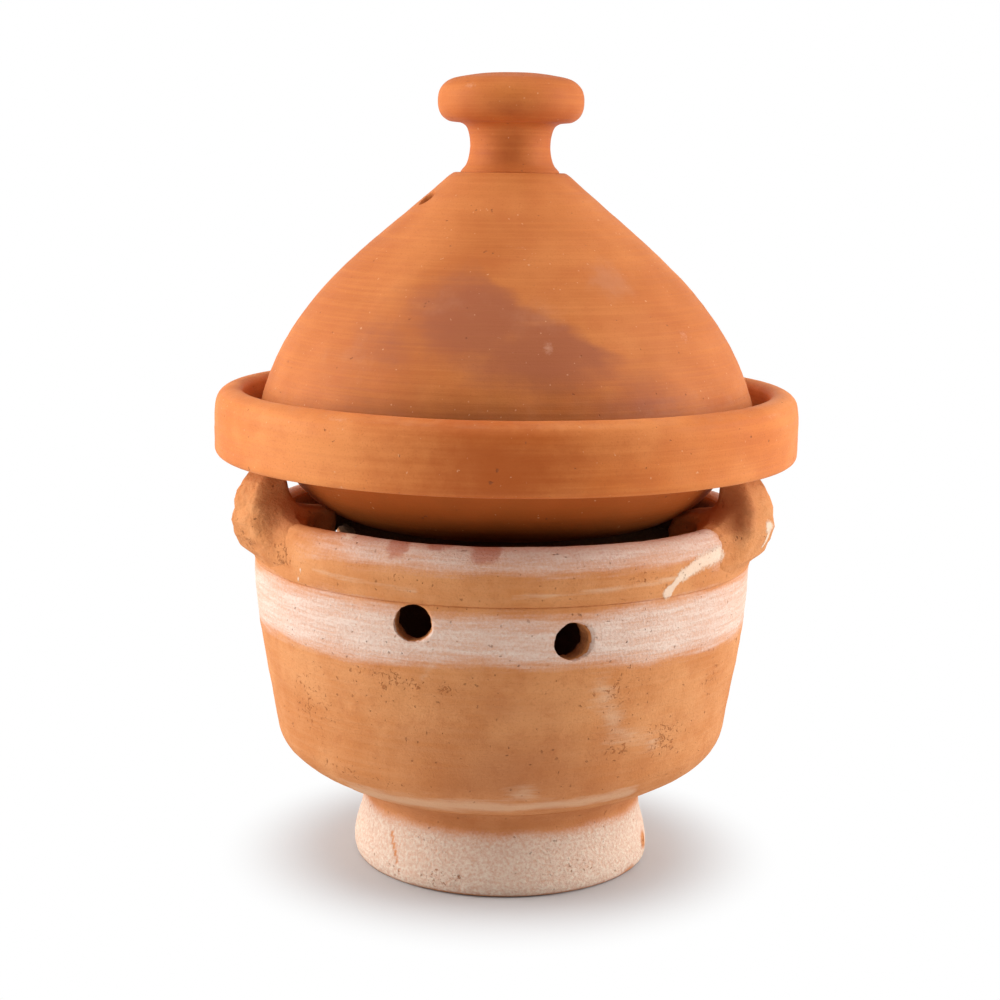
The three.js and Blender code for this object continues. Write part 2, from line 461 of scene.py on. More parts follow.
def make_lid():
    def relief(points):
        return smooth_relief(points) * smoothstep(points[:, 2], LID_BOTTOM + 0.5, LID_BOTTOM + 5)

    lid = thrown("lid", LID_INNER + LID_OUTER, relief)
    cut(lid, [steam_hole_cutter()])
    nudge(lid, POT_NUDGE)
    return lid


def make_knob():
    corners = [
        (0, KNOB_BOTTOM - 0.8, 1),
        (25, KNOB_BOTTOM - 0.9, 0.4),
        (25.3, KNOB_BOTTOM - 0.1, 0.5),
        (24.3, KNOB_BOTTOM + 0.9, 0.8),
        (22.3, 361.6, 1.2),
        (21, 365, 1.8),
        (20.3, 370, 2),
        (20.6, 376, 1.6),
        (22.2, 380.8, 1),
        (25, 382.6, 0.7),
        (31.5, 383.2, 1.2),
        (35.8, 386.2, 1.8),
        (37.5, 392.5, 2.6),
        (36.4, 399.8, 2.4),
        (31, 404.6, 2.6),
        (14, KNOB_TOP - 0.2, 4),
        (0, KNOB_TOP, 4),
    ]

    def relief(points):
        return 0.75 * smooth_relief(points) * smoothstep(points[:, 2], KNOB_BOTTOM, KNOB_BOTTOM + 3)

    knob = thrown("knob", corners, relief, around=240)
    nudge(knob, POT_NUDGE)
    return knob


def bowl_relief(points):
    """Rough, but true at the bowl's lip and foot, where other pieces are luted on."""
    height = points[:, 2]
    upper = rough_relief(points) * smoothstep(BOWL_TOP - height, 0.4, 5)
    return upper * smoothstep(height, BOWL_BOTTOM + 0.4, 50)


def make_bowl():
    corners = [
        (0, BOWL_BOTTOM, 2),
        (79, BOWL_BOTTOM, 2),
        (91, 47.8, 4),
        (103, 54, 5),
        (112.5, 61.5, 4),
        (117, 69, 3.5),
        (121.7, 97, 8),
        (126, 123, 8),
        (BOWL_RADIUS - 0.3, 145, 6),
        (BOWL_RADIUS, BOWL_TOP - 1, 0.8),
        (BOWL_RADIUS - 1.5, BOWL_TOP + 0.2, 0.6),
        (BOWL_RADIUS - 12, BOWL_TOP + 0.2, 0.8),
        (BOWL_RADIUS - 12, 150, 4),
        (104.8, 76, 8),
        (98, 62, 6),
        (82, 57.5, 5),
        (0, 57, 3),
    ]

    bowl = thrown("bowl", corners, bowl_relief)
    cut(bowl, [vent_cutter(azimuth, height, seed) for seed, (azimuth, height) in enumerate(VENTS)])
    return bowl


def roll_relief(points):
    """The roll is squeezed by hand, so it swells and thins along its length."""
    hand = 0.6 * dents(points + 40, (45, 45, 60)) + rough_relief(points)
    return hand * smoothstep(points[:, 2], ROLL_BOTTOM + 0.4, ROLL_BOTTOM + 5)


ROLL = [
    (ROLL_RADIUS - 16.5, ROLL_BOTTOM - 0.2, 1),
    (BOWL_RADIUS - 1.5, ROLL_BOTTOM - 1.0, 0.6),
    (BOWL_RADIUS + 0.2, ROLL_BOTTOM - 0.9, 0.5),
    (BOWL_RADIUS + 0.8, 164, 1.6),
    (ROLL_RADIUS, 170, 3),
    (ROLL_RADIUS - 0.1, 177, 3),
    (ROLL_RADIUS - 2.3, 184, 3),
    (124, ROLL_TOP - 0.4, 2.6),
    (119, ROLL_TOP, 2.6),
    (114, ROLL_TOP - 3, 2.6),
    (ROLL_RADIUS - 17.4, 176, 4),
]


def make_roll():
    return thrown("rim_roll", ROLL, roll_relief, closed=True)


def make_foot():
    corners = [
        (64, FOOT_BOTTOM, 1),
        (75.6, FOOT_BOTTOM, 1),
        (77.6, 1.6, 1.1),
        (78.4, 6.5, 2.5),
        (77.2, 15.5, 4),
        (74, 25, 4),
        (73, 32, 4),
        (74, 39.5, 2),
        (FOOT_RADIUS, FOOT_TOP - 0.5, 0.8),
        (FOOT_RADIUS - 1, FOOT_TOP, 0.6),
        (62, FOOT_TOP, 0.8),
        (61, 40, 2),
        (61, 5, 2),
    ]

    def relief(points):
        height = points[:, 2]
        return rough_relief(points) * smoothstep(height, 0.3, 3) * smoothstep(FOOT_TOP - height, 0.4, 4)

    foot = thrown("foot_ring", corners, relief, closed=True, around=260)
    nudge(foot, FOOT_NUDGE)
    return foot


# ---- Holes ----


def punch(name, corners, place, aim, ragged, seed):
    """A closed tool with a turned outline, set at a place and aimed along a direction."""
    tool_noise = Noise(seed)

    def relief(points):
        torn = ragged * (1 + 1.2 * smoothstep(-points[:, 2], -5, -1))
        return torn * (tool_noise(points, 6) + 0.7 * tool_noise(points, 2.5))

    tool = thrown(name, corners, relief, around=72)
    turn = Vector((0, 0, 1)).rotation_difference(Vector(aim)).to_matrix().to_4x4()
    tool.data.transform(turn)
    tool.data.transform(Matrix.Translation(Vector(place * MM)))
    return tool


def vent_cutter(azimuth, height, seed):
    """Punched from outside while the clay is damp: a straight hole whose lip is dragged and worn."""
    corners = [
        (0, -20, 1),
        (VENT_RADIUS + 1.8, -20, 1),
        (VENT_RADIUS + 1.4, -1.5, 1.2),
        (VENT_RADIUS + 0.3, 2.5, 1.2),
        (VENT_RADIUS + 0.3, 10.2, 0.8),
        (VENT_RADIUS + 1.0, 11.8, 0.8),
        (VENT_RADIUS + 3.4, 14.2, 1),
        (VENT_RADIUS + 3.4, 24, 1),
        (0, 24, 1),
    ]
    lip = outward(azimuth) * (BOWL_RADIUS - 1) + (0, 0, height)
    aim = outward(azimuth + VENT_LEAN)
    return punch("vent_tool", corners, lip - aim * 11, aim, ragged=0.5, seed=100 + seed)


def steam_hole_cutter():
    azimuth, height = STEAM_HOLE
    slope = math.atan2(11, 13)  # the lid's fall beside the hole
    aim = outward(azimuth) * math.sin(slope) + (0, 0, math.cos(slope))
    place = outward(azimuth) * 44 + (0, 0, height)
    corners = [
        (0, -22, 0.5),
        (4.6, -22, 0.5),
        (4.4, -1.6, 0.6),
        (6.4, 1.5, 0.6),
        (6.4, 8, 0.5),
        (0, 8, 0.5),
    ]
    return punch("steam_tool", corners, place, aim, ragged=0.14, seed=140)


# ---- Pot rests ----

HORN = [
    (121, 171),
    (129, 170.5),
    (133.5, 172.5),
    (138.6, 178.5),
    (141.8, 186),
    (140.3, 191.5),
    (140.8, 196),
    (139, 201),
    (136, 206),
    (131.5, 211),
    (126.5, 215.5),
    (121.2, 215.5),
    (119.6, 205),
    (118.8, 190),
]
TONGUE_ROOT = [(114, 162), (122, 172)]
TONGUES = {
    "pot_rest_left": [(122, 191.5), (98, 191.5), (93.4, 190), (92.8, 184), (95, 170), (104, 164)],
    "pot_rest_right": [(122, 191.5), (104, 191.5), (96, 189), (93.2, 183), (95, 170), (106, 163)],
    "pot_rest_back": [(122, 190.5), (104, 188.5), (96, 184), (94.5, 178), (97, 168), (106, 163)],
}
ROLL_OUTLINE = [(radius, height) for radius, height, _ in ROLL]
WALL_OUTLINE = [
    (BOWL_RADIUS - 12, 120),
    (125.5, 120),
    (BOWL_RADIUS - 0.3, 145),
    (BOWL_RADIUS, BOWL_TOP + 0.2),
    (BOWL_RADIUS - 12, BOWL_TOP + 0.2),
]
ROOT = 2.5  # how far a rest's clay reaches under the roll's surface
TORN = {"pot_rest_left": 1.0, "pot_rest_right": 0.35, "pot_rest_back": 0.6}  # mm
TWIST = {"pot_rest_left": 18, "pot_rest_right": -18, "pot_rest_back": 4}  # degrees, on its root
HORN_AXIS = 129  # radius of the upright line a horn is turned about
REST_LOW = (88, -34, 136)  # box round a rest: along its radius, across it, and up
REST_HIGH = (145, 34, 219)
REST_STEP = 0.8  # mm between the points of a rest
SHARP_TEAR = 60  # degrees between faces from which an edge of a rest stays sharp


def carrier(points):
    """The field of the roll and the bowl's wall, which carry the rests."""
    radius, height = radius_of(points), points[:, 2]
    roll = outline_distance(radius, height, ROLL_OUTLINE) - roll_relief(points)
    wall = outline_distance(radius, height, WALL_OUTLINE) - bowl_relief(points)
    return np.minimum(roll, wall)


def rest_field(name, points, local):
    """The clay of one rest: a horn and a tongue, drawn out smoothly over the roll that carries them."""
    across, aside, height = local.T
    spread = 1 - 0.17 * smoothstep(height, 190, 214) + 0.4 * smoothstep(-height, -188, -170)
    turn = math.radians(TWIST[name])
    from_middle = across - HORN_AXIS
    horn_across = HORN_AXIS + from_middle * math.cos(turn) + aside * math.sin(turn)
    horn_aside = aside * math.cos(turn) - from_middle * math.sin(turn)
    horn = slab(horn_across, horn_aside / spread, height, HORN, half_width=12.2, rounding=4.8)
    outline = TONGUES[name] + TONGUE_ROOT
    tongue = slab(across, aside, height, outline, half_width=11, rounding=3.2)
    lump = smooth_min(horn, tongue, blend=9)
    outer_face = smoothstep(horn_across, 131, 137)
    tears = 0.3 * grit(points, 6.5) + 0.4 * np.abs(grit(points, 2.2))
    tears = tears + 0.35 * np.abs(grit(points + 60, 3.4))
    lump = lump - 1.1 * dents(points + 200, 21) - 0.5 * dents(points, 9)
    lump = lump + TORN[name] * outer_face * tears
    # Below the roll the lump thins out, so that it ends on the wall.
    lump = lump + 7 * smoothstep(-height, -171, -160)
    under = carrier(points)
    blended = smooth_min(lump, under, blend=15)
    raised = under - blended
    # The thin edge dives under the roll's surface, so no step shows where the rest begins.
    skin = blended + 0.5 * (1 - smoothstep(raised, 0.02, 0.35))
    flat_top = height - REST_TOP - 0.15
    return np.maximum.reduce([skin, flat_top, -(under + ROOT), 4 * (0.01 - raised)])


def make_rest(name, azimuth):
    out = outward(azimuth)
    turn = np.array([out, (-out[1], out[0], 0), (0, 0, 1)])

    def field(local):
        return rest_field(name, local @ turn, local)

    step = REST_STEP
    points, faces = surface(field, REST_LOW, REST_HIGH, step)
    rest = make_mesh(name.replace("pot_", ""), points @ turn, faces)
    rest.data.set_sharp_from_angle(angle=math.radians(SHARP_TEAR))
    return rest


# ---- Shaders ----

WHITE = (1.0, 1.0, 1.0, 1.0)
LIMEWASH = (0.81, 0.65, 0.555)
THICK_WASH = (0.86, 0.74, 0.61)


class Shader:
    """Builds one material, a node at a time."""

    def __init__(self, name):
        self.material = bpy.data.materials.new(name)
        self.material.use_nodes = True
        self.tree = self.material.node_tree
        self.tree.nodes.clear()
        self.place = self.node("ShaderNodeTexCoord").outputs["Object"]

    def node(self, kind, inputs=(), **settings):
        node = self.tree.nodes.new(kind)
        for setting, value in settings.items():
            setattr(node, setting, value)
        for socket, value in dict(inputs).items():
            self.plug(node.inputs[socket], value)
        return node

    def plug(self, socket, value):
        if isinstance(value, bpy.types.NodeSocket):
            self.tree.links.new(value, socket)
        else:
            socket.default_value = value

    def noise(self, size, detail, roughness, shift=(0, 0, 0), distortion=0.0):
        """Noise from 0 to 1 with features about size mm across, or size for each axis."""
        sizes = size if isinstance(size, tuple) else (size, size, size)
        scale = tuple(1000 / value for value in sizes)
        inputs = {"Vector": self.place, "Scale": scale, "Location": shift}
        where = self.node("ShaderNodeMapping", inputs).outputs["Vector"]
        inputs = {"Vector": where, "Scale": 1.0, "Detail": detail}
        inputs.update({"Roughness": roughness, "Distortion": distortion})
        return self.node("ShaderNodeTexNoise", inputs).outputs["Fac"]

    def field(self, name):
        return self.node("ShaderNodeAttribute", attribute_name=name).outputs["Fac"]

    def math(self, operation, first, second):
        node = self.node("ShaderNodeMath", operation=operation)
        self.plug(node.inputs[0], first)
        self.plug(node.inputs[1], second)
        return node.outputs[0]

    def add(self, *values):
        total = values[0]
        for value in values[1:]:
            total = self.math("ADD", total, value)
        return total

    def times(self, first, second):
        return self.math("MULTIPLY", first, second)

    def step(self, value, low, high, bottom=0.0, top=1.0):
        """A smooth step from bottom to top as value goes from low to high."""
        inputs = {"Value": value, "From Min": low, "From Max": high}
        inputs.update({"To Min": bottom, "To Max": top})
        node = self.node("ShaderNodeMapRange", inputs, interpolation_type="SMOOTHSTEP")
        return node.outputs["Result"]

    def blend(self, share, first, second):
        """A share of the second colour laid over the first."""
        node = self.node("ShaderNodeMix", data_type="RGBA")
        self.plug(node.inputs["Factor"], share)
        for socket, value in ((node.inputs[6], first), (node.inputs[7], second)):
            self.plug(socket, value if isinstance(value, bpy.types.NodeSocket) else (*value, 1.0))
        return node.outputs[2]

    def bump(self, height, depth, below=None):
        """Raises the surface by height times depth mm, over a bump below."""
        inputs = {"Height": height, "Distance": depth * MM, "Strength": 1.0}
        if below is not None:
            inputs["Normal"] = below
        return self.node("ShaderNodeBump", inputs).outputs["Normal"]

    def finish(self, colour, roughness, normal, specular, glow=None):
        """The finished material. Glow is the strength of white light that it gives off."""
        inputs = {"Base Color": colour, "Roughness": roughness, "Normal": normal}
        inputs["Specular IOR Level"] = specular
        if glow is not None:
            inputs.update({"Emission Color": WHITE, "Emission Strength": glow})
        surface = self.node("ShaderNodeBsdfPrincipled", inputs).outputs["BSDF"]
        self.node("ShaderNodeOutputMaterial", {"Surface": surface})
        return self.material

    def centred(self, size, detail, roughness, shift, gain):
        """Noise about 0, multiplied by gain."""
        return self.times(self.math("SUBTRACT", self.noise(size, detail, roughness, shift), 0.5), gain)

    def specks(self, size, shift, rarity):
        """Small separate spots, 1 at their middles. A higher rarity leaves fewer."""
        return self.step(self.noise(size, 1, 0.4, shift), rarity, rarity + 0.05)


def smooth_clay(name, deep, bright, scorched):
    """Fine red-orange clay, burnished on the wheel: level lines, clouding, scorch, painted shade and
    dust.
    """
    shader = Shader(name)
    cloud = shader.step(shader.noise(62, 3, 0.55), 0.32, 0.68)
    lines = shader.noise((90, 90, 1.3), 4, 0.6)
    wide_lines = shader.noise((160, 160, 6), 2, 0.5, (3, 1, 7))
    grain = shader.noise(0.9, 2, 0.6)
    colour = shader.blend(cloud, deep, bright)
    mottle = shader.noise((20, 20, 12), 5, 0.65, (7, 7, 1))
    colour = shader.blend(shader.step(mottle, 0.4, 0.7, 0.0, 0.3), colour, (0.48, 0.115, 0.028))
    colour = shader.blend(shader.step(lines, 0.4, 0.68, 0.0, 0.17), colour, (0.76, 0.29, 0.09))
    colour = shader.blend(shader.step(wide_lines, 0.42, 0.62, 0.0, 0.12), colour, (0.44, 0.10, 0.018))
    colour = shader.blend(shader.step(grain, 0.52, 0.8, 0.0, 0.4), colour, (0.40, 0.11, 0.03))

    streaks = shader.centred((80, 80, 2.6), 4, 0.6, (6, 6, 6), 0.6)
    # scorch holds real scorch on the lid and painted shade on the lid, knob and dish.
    smoke = shader.add(shader.field("scorch"), shader.centred(24, 6, 0.7, (2, 8, 1), 1.0), streaks)
    colour = shader.blend(shader.step(smoke, 0.05, 1.0, 0.0, 0.82), colour, scorched)
    dust = shader.add(shader.field("dust"), shader.centred(9, 3, 0.6, (0, 0, 4), 1.2))
    colour = shader.blend(shader.step(dust, 0.1, 1.1, 0.0, 0.36), colour, (0.57, 0.26, 0.145))
    pale = shader.add(shader.field("pale"), shader.centred(1.2, 4, 0.75, (0, 6, 0), 1.6))
    colour = shader.blend(shader.step(pale, 0.2, 1.2, 0.0, 0.45), colour, (0.78, 0.46, 0.32))

    # browned darkens the clay to deep brown as painted shade.
    browned = shader.add(shader.field("browned"), shader.centred(16, 4, 0.6, (5, 1, 5), 0.6))
    colour = shader.blend(shader.step(browned, 0.0, 1.0, 0.0, 0.62), colour, (0.24, 0.075, 0.012))

    light_specks = shader.specks(2.2, (5, 5, 5), 0.75)
    pits = shader.specks(2.8, (9, 2, 4), 0.765)
    colour = shader.blend(shader.times(light_specks, 0.45), colour, (0.74, 0.42, 0.22))
    colour = shader.blend(shader.times(pits, 0.6), colour, (0.22, 0.06, 0.02))

    roughness = shader.step(shader.add(lines, shader.times(grain, 0.5)), 0.4, 1.1, 0.5, 0.74)
    normal = shader.bump(lines, 0.16)
    normal = shader.bump(shader.noise(0.7, 3, 0.6), 0.09, normal)
    normal = shader.bump(shader.math("SUBTRACT", 1.0, pits), 0.25, normal)
    return shader.finish(colour, roughness, normal, 0.16)


def coarse_clay(name, brush, ragged, working, rough, wash):
    """Coarser, paler clay under a wash of a colour.

    Brush and working are the sizes of the marks of each. The wash's edge strays by ragged, and rough
    is the depth of the working marks.
    """
    shader = Shader(name)
    patch = shader.step(shader.noise(36, 4, 0.62), 0.34, 0.68)
    lines = shader.noise(working, 4, 0.66)
    grain = shader.noise(1.1, 3, 0.65)
    blotch = shader.step(shader.noise(10, 4, 0.68, (4, 4, 9)), 0.5, 0.74)
    colour = shader.blend(patch, (0.57, 0.21, 0.068), (0.67, 0.285, 0.11))
    colour = shader.blend(shader.step(lines, 0.4, 0.68, 0.0, 0.18), colour, (0.72, 0.36, 0.17))
    colour = shader.blend(shader.times(blotch, 0.42), colour, (0.50, 0.165, 0.055))
    colour = shader.blend(shader.step(grain, 0.5, 0.76, 0.0, 0.45), colour, (0.42, 0.155, 0.06))
    # flash darkens the clay to brown as painted shade, loosened by a little random tone.
    flash = shader.add(shader.field("flash"), shader.centred(18, 4, 0.6, (6, 0, 2), 0.7))
    colour = shader.blend(shader.step(flash, 0.0, 1.0, 0.0, 0.6), colour, (0.42, 0.135, 0.05))
    smear = shader.add(shader.field("smear"), shader.centred((22, 22, 3), 4, 0.7, (1, 1, 8), 1.8))
    colour = shader.blend(shader.step(smear, 0.1, 1.1, 0.0, 0.6), colour, (0.70, 0.44, 0.28))

    strokes = shader.centred(brush, 4, 0.62, (1, 6, 2), 1.0)
    crackle = shader.centred(1.3, 3, 0.7, (7, 1, 3), 1.0)
    edge = shader.add(shader.field("slip"), shader.times(strokes, ragged), shader.times(crackle, 5))
    film = shader.step(edge, -2.0, 4.0)
    streak = shader.add(shader.times(strokes, 1.5), shader.times(crackle, 1.4))
    thick = shader.times(shader.step(edge, 0.0, 9.0), shader.step(streak, -0.45, 0.4, 0.25, 1.0))
    colour = shader.blend(shader.times(film, 0.62), colour, (0.70, 0.40, 0.29))
    colour = shader.blend(shader.times(thick, 0.85), colour, wash)
    stain = shader.add(shader.field("stain"), shader.centred(6, 3, 0.6, (0, 0, 0), 0.9))
    colour = shader.blend(shader.step(stain, 0.15, 0.5, 0.0, 0.6), colour, (0.48, 0.115, 0.05))
    cream = shader.step(shader.add(shader.field("cream"), shader.times(crackle, 0.8)), 0.05, 0.5)
    colour = shader.blend(shader.times(cream, 0.8), colour, (0.84, 0.66, 0.51))

    pits = shader.specks(2.4, (3, 3, 3), 0.735)
    crumbly = shader.times(shader.field("crumb"), 0.2)
    crumbs = shader.add(crumbly, shader.noise(3.1, 3, 0.62, (8, 8, 1), 1.2))
    crumbs = shader.step(crumbs, 0.71, 0.77)
    colour = shader.blend(shader.times(pits, 0.45), colour, (0.30, 0.10, 0.035))
    colour = shader.blend(shader.times(crumbs, 0.75), colour, (0.38, 0.12, 0.035))
    # soot lays near-black painted shade inside the hollow and the vents.
    soot = shader.step(shader.add(shader.field("soot"), shader.times(crackle, 0.5)), 0.1, 0.9)
    colour = shader.blend(shader.times(soot, 0.9), colour, (0.03, 0.018, 0.012))

    roughness = shader.step(grain, 0.3, 0.8, 0.72, 0.95)
    normal = shader.bump(lines, rough)
    normal = shader.bump(shader.noise(1.2, 4, 0.65), 0.38, normal)
    normal = shader.bump(shader.math("SUBTRACT", 1.0, pits), 0.6, normal)
    normal = shader.bump(shader.add(thick, crumbs, cream), 0.3, normal)
    return shader.finish(colour, roughness, normal, 0.1)


# ---- Marks: where each one lies, by azimuth and height ----

PATCH_RADIUS = 102  # the lid's radius about the middle of its smoke patch
PATCH_FACING = (0.484, 0.875)  # the way the patch's sharp edge faces, across and up
PATCH_HEIGHT = 303.5  # height of that edge at the front
SLIP_BAND = (128.5, 161.5)  # heights of the limewash band round the bowl
NO_SLIP = -20.0  # mm outside the limewash


def spot(points, azimuth, height, wide, tall):
    """1 at a place on the wall, falling to 0 at its edge and below 0 past it. Sizes are in mm."""
    across = np.radians(away(azimuth_of(points), azimuth)) * radius_of(points) / wide
    up = (points[:, 2] - height) / tall
    return np.maximum(1 - np.hypot(across, up), -1)


def stroke(points, start, end, wide):
    """1 along a stroke between two places on the wall, falling to 0 at its sides.

    A place is an azimuth and a height.
    """
    radius = radius_of(points)
    across = np.radians(away(azimuth_of(points), start[0])) * radius
    up = points[:, 2] - start[1]
    run = np.radians(away(end[0], start[0])) * radius
    rise = end[1] - start[1]
    share = np.clip((across * run + up * rise) / np.maximum(run**2 + rise**2, 1e-6), 0, 1)
    return np.maximum(1 - np.hypot(across - run * share, up - rise * share) / wide, -1)


def most(*fields):
    return np.maximum.reduce(fields)


def unmarked(points):
    return np.full(len(points), -1.0)


def paint_lid(lid):
    points = points_of(lid)
    smoke = most(
        1.3 * spot(points, -7, 291, 56, 30),
        1.3 * spot(points, 10, 277, 56, 28),
        0.6 * spot(points, -30, 280, 36, 26),
        0.7 * spot(points, 31, 253, 44, 24),
    )
    # The smoke patch ends sharply along a line that falls to the right, and softly elsewhere.
    across = np.radians(azimuth_of(points)) * PATCH_RADIUS
    past_line = PATCH_FACING[0] * across + PATCH_FACING[1] * (points[:, 2] - PATCH_HEIGHT)
    smoke = np.minimum(smoke, 0.4 - (past_line + 3.5 * dents(points, 11)) / 7)
    # The scorch holds the smoke patch and, low on the lid's front, a painted shade.
    scorch = most(smoke, 0.6 * spot(points, -4, 241, 100, 18), spot(points, 150, 300, 60, 40))
    low = 1 - (points[:, 2] - LID_BOTTOM) / 34
    dust = most(
        low * (0.5 + 0.5 * smoothstep(azimuth_of(points), -20, 40)),
        spot(points, 35, 308, 20, 13),
        0.6 * spot(points, 8, 292, 24, 12),
        0.5 * spot(points, -17, 298, 24, 10),
        0.4 * spot(points, -40, 270, 30, 16),
    )
    pale = most(
        spot(points, 10.3, 279, 3.4, 5),
        0.6 * spot(points, 52, 282, 6, 6),
        0.5 * stroke(points, (0, 324), (7, 323), 1.2),
    )
    # Painted shade: the lid's lower front darkened brown.
    browned = 0.95 * spot(points, -6, 236, 130, 36)
    paint(lid, scorch=scorch, dust=dust, pale=pale, browned=browned)


def paint_knob(knob):
    points = points_of(knob)
    # Painted shade: the knob's neck and the lower part of its cap darkened at the front.
    scorch = 0.8 * most(spot(points, -2, 366, 28, 17), 0.9 * spot(points, 2, 387, 60, 12))
    pale = 0.8 * most(spot(points, -33, 400, 6, 2.4), stroke(points, (-22, 397.5), (12, 397.5), 0.7))
    paint(knob, scorch=scorch, dust=unmarked(points), pale=pale, browned=unmarked(points))


def paint_dish(dish):
    points = points_of(dish)
    # Painted shade: the band darkened at its front and back, away from the side lamps, and the underside
    # under the band.
    band = most(spot(points, -2, 232, 82, 90), 0.8 * spot(points, 180, 228, 90, 70))
    under = radius_of(points) < 119
    scorch = np.where(under, 1.2, band)
    dust = np.where(points[:, 2] > DISH_TOP - 4, 0.3, -0.6)
    pale = 0.6 * most(
        spot(points, -31, 247, 14, 2),
        spot(points, 60, 245, 20, 2),
        spot(points, -30, 215.5, 6, 2),
    )
    # Painted shade, deepest towards the middle of the underside below the band.
    below_band = under & (points[:, 2] < DISH_TOP - 25)
    browned = np.where(below_band, 0.3 + 0.9 * smoothstep(-radius_of(points), -116, -70), -1.0)
    paint(dish, scorch=scorch, dust=dust, pale=pale, browned=browned)


def skin_radius(height):
    """The radius of the bowl's outer face."""
    radii = (79, 103, 117, 121.7, 126, BOWL_RADIUS - 0.3)
    return np.interp(height, (45, 54, 69, 97, 123, 145), radii)


def slip_on_brazier(points):
    """How far inside the limewash a point is, in mm: the band round the bowl, and the roll's top."""
    azimuth = azimuth_of(points)
    height = points[:, 2]
    ragged = dents(points * (1, 1, 0.2) + 70, 26)
    band = np.minimum(height - SLIP_BAND[0] - 1.8 * ragged, SLIP_BAND[1] + 1.2 * ragged - height)
    band = band - 3.5 * smoothstep(-np.abs(azimuth), -34, -14)
    band = np.where(radius_of(points) > skin_radius(height) - 1.2, band, NO_SLIP)
    end = np.minimum(0.34 * away(azimuth, -46), 2.2 * (57 - azimuth))
    front = np.minimum(height - 176 - 2.5 * ragged, end)
    front = np.maximum(front, 7 * spot(points, 53, 180, 10, 10))
    behind = np.minimum(height - 177 - 2.5 * ragged, (np.abs(away(azimuth, 180)) - 18) * 2.2)
    behind = np.minimum(behind, (np.abs(azimuth) - 84) * 2.2)
    return np.maximum(band, np.where(radius_of(points) > 115, np.maximum(front, behind), NO_SLIP))


def cream_on_brazier(points):
    """Drips and dabs of thick cream slip."""
    return most(
        0.7 * stroke(points, (54, 177.5), (46.5, 175), 5.5),
        stroke(points, (46.5, 175), (41, 170.5), 4.0),
        stroke(points, (41, 170.5), (37.6, 164.5), 2.2),
        1.4 * spot(points, 37.4, 163.4, 3.7, 4.0),
        0.9 * spot(points, 68.2, 186.5, 4.2, 4.2),
        0.8 * stroke(points, (68.5, 186), (69.5, 176), 1.6),
        0.7 * spot(points, -36, 188.3, 5, 2.5),
        0.6 * stroke(points, (-50, 161), (-48, 170), 0.9),
    )


def smears_on_brazier(points):
    """Thin slip dragged over the clay: under the bowl, on its right flank and along the roll."""
    return most(
        1.2 * stroke(points, (-42, 56), (2, 58), 8.5),
        1.2 * stroke(points, (0, 58), (36, 60), 6),
        spot(points, 6, 68, 12, 7),
        0.75 * stroke(points, (22, 121), (27, 98), 10),
        0.7 * stroke(points, (26, 96), (38, 88), 8),
        0.7 * stroke(points, (-44, 171), (-18, 167), 2.2),
        0.9 * stroke(points, (2, 166), (46, 171), 2.0),
        0.6 * stroke(points, (-17, 124), (-14, 134), 3),
        0.8 * stroke(points, (140, 60), (215, 58), 7),
        0.7 * spot(points, -120, 90, 24, 12),
    )


def stains_on_brazier(points):
    """Red patches where the slip has rubbed off the roll."""
    return most(
        spot(points, -23, 187, 7.5, 8),
        0.9 * spot(points, -14.5, 188.5, 10, 4.5),
        0.9 * spot(points, -3.5, 186.5, 10, 8),
    )


def crumbs_on_brazier(points):
    """Where crumbs of clay stick to the wall."""
    return most(
        1.2 * spot(points, -12, 121, 7, 5),
        spot(points, -24, 122, 26, 10),
        spot(points, 25, 117, 22, 12),
        spot(points, 28, 86, 16, 11),
        1.2 * spot(points, 42, 88, 20, 15),
        spot(points, 72, 126, 8, 10),
        0.8 * spot(points, -50, 100, 30, 30),
        0.9 * spot(points, 58, 114, 12, 16),
        0.8 * spot(points, -40, 68, 40, 8),
        0.8 * spot(points, 30, 173, 26, 6),
        0.8 * spot(points, -23, 172, 16, 5),
        spot(points, -56, 172, 16, 9),
        1.3 * spot(points, -73, 196, 14, 20),
        1.2 * spot(points, -66, 176, 14, 9),
        0.9 * spot(points, 72, 208, 14, 7),
        spot(points, 150, 100, 24, 18),
        spot(points, -130, 86, 24, 16),
    )


def paint_brazier(piece, is_rest=False):
    points = points_of(piece)
    radius = radius_of(points)
    height = points[:, 2]
    slip = np.full(len(points), NO_SLIP) if is_rest else slip_on_brazier(points)
    # Painted shade: the lower body darkened at the front and the back, and the front of the wall above
    # it.
    flash = most(
        0.9 * spot(points, 4, 74, 95, 44),
        0.5 * spot(points, 0, 112, 50, 30),
        0.8 * spot(points, 170, 80, 90, 40),
    )
    # Painted shade: the inside of the bowl and roll turns near-black, a dark sheet where the hollow lies
    # in shade.
    inside_radius = np.interp(height, (45, 68, 150, 162, 176, 190), (60, 108, 120, 118, 116, 118))
    soot = smoothstep(inside_radius - radius, 0, 5) * smoothstep(-height, -200, -176)
    by_vents = (height > LOW_VENT[1] - 10) & (height < HIGH_VENT[1] + 10)
    in_vent = np.where(by_vents, smoothstep(skin_radius(height) - radius, 1, 3.5), 0)
    # The vent walls get painted shade as well, lighter at the front.
    front = np.abs(azimuth_of(points)) <= 60
    soot = np.maximum(soot, in_vent * np.where(front, 0.4, 0.85))
    if is_rest:
        soot = soot * smoothstep(-height, -180, -166)
        # Painted shade on the inner front faces of the left and right horns.
        thumbed = most(spot(points, -58, 198, 12, 20), 0.9 * spot(points, 61, 198, 10, 20))
        flash = np.maximum(flash, 1.6 * thumbed * smoothstep(radius, 112, 120))
    paint(
        piece,
        slip=slip,
        cream=cream_on_brazier(points),
        smear=smears_on_brazier(points),
        stain=stains_on_brazier(points),
        crumb=crumbs_on_brazier(points),
        flash=flash,
        soot=soot,
    )


